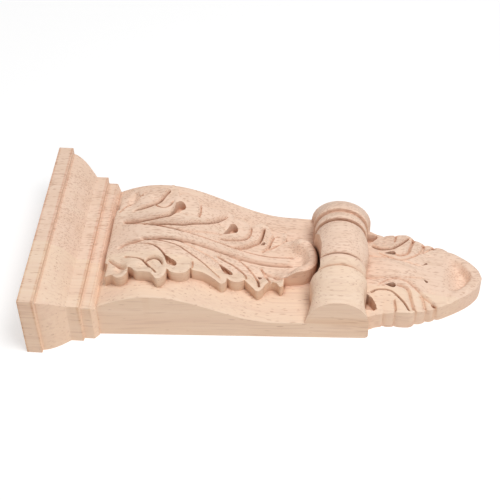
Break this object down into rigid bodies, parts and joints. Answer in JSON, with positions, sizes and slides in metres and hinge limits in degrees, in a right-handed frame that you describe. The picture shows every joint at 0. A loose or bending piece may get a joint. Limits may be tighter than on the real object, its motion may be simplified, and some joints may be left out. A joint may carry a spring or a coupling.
{
  "type": "carved wooden corbel onlay",
  "caption": "Bare wood corbel onlay: moulded cap, swept tapering body, turned scroll roll, raised acanthus leaf and leaf tail on a flat back.",
  "frame": {"origin": "centre of the flat back: half way along the length and half way across the width", "axes": "+X along the length from the moulded cap to the leaf tip, +Y across the width, +Z out of the back towards the carved face"},
  "size_m": [0.2, 0.0986, 0.0333],
  "materials": {
    "wood": "bare, unfinished, machine carved"
  },
  "bodies": {
    "root": {"carved_onlay": "wood"}
  },
  "joints": []
}
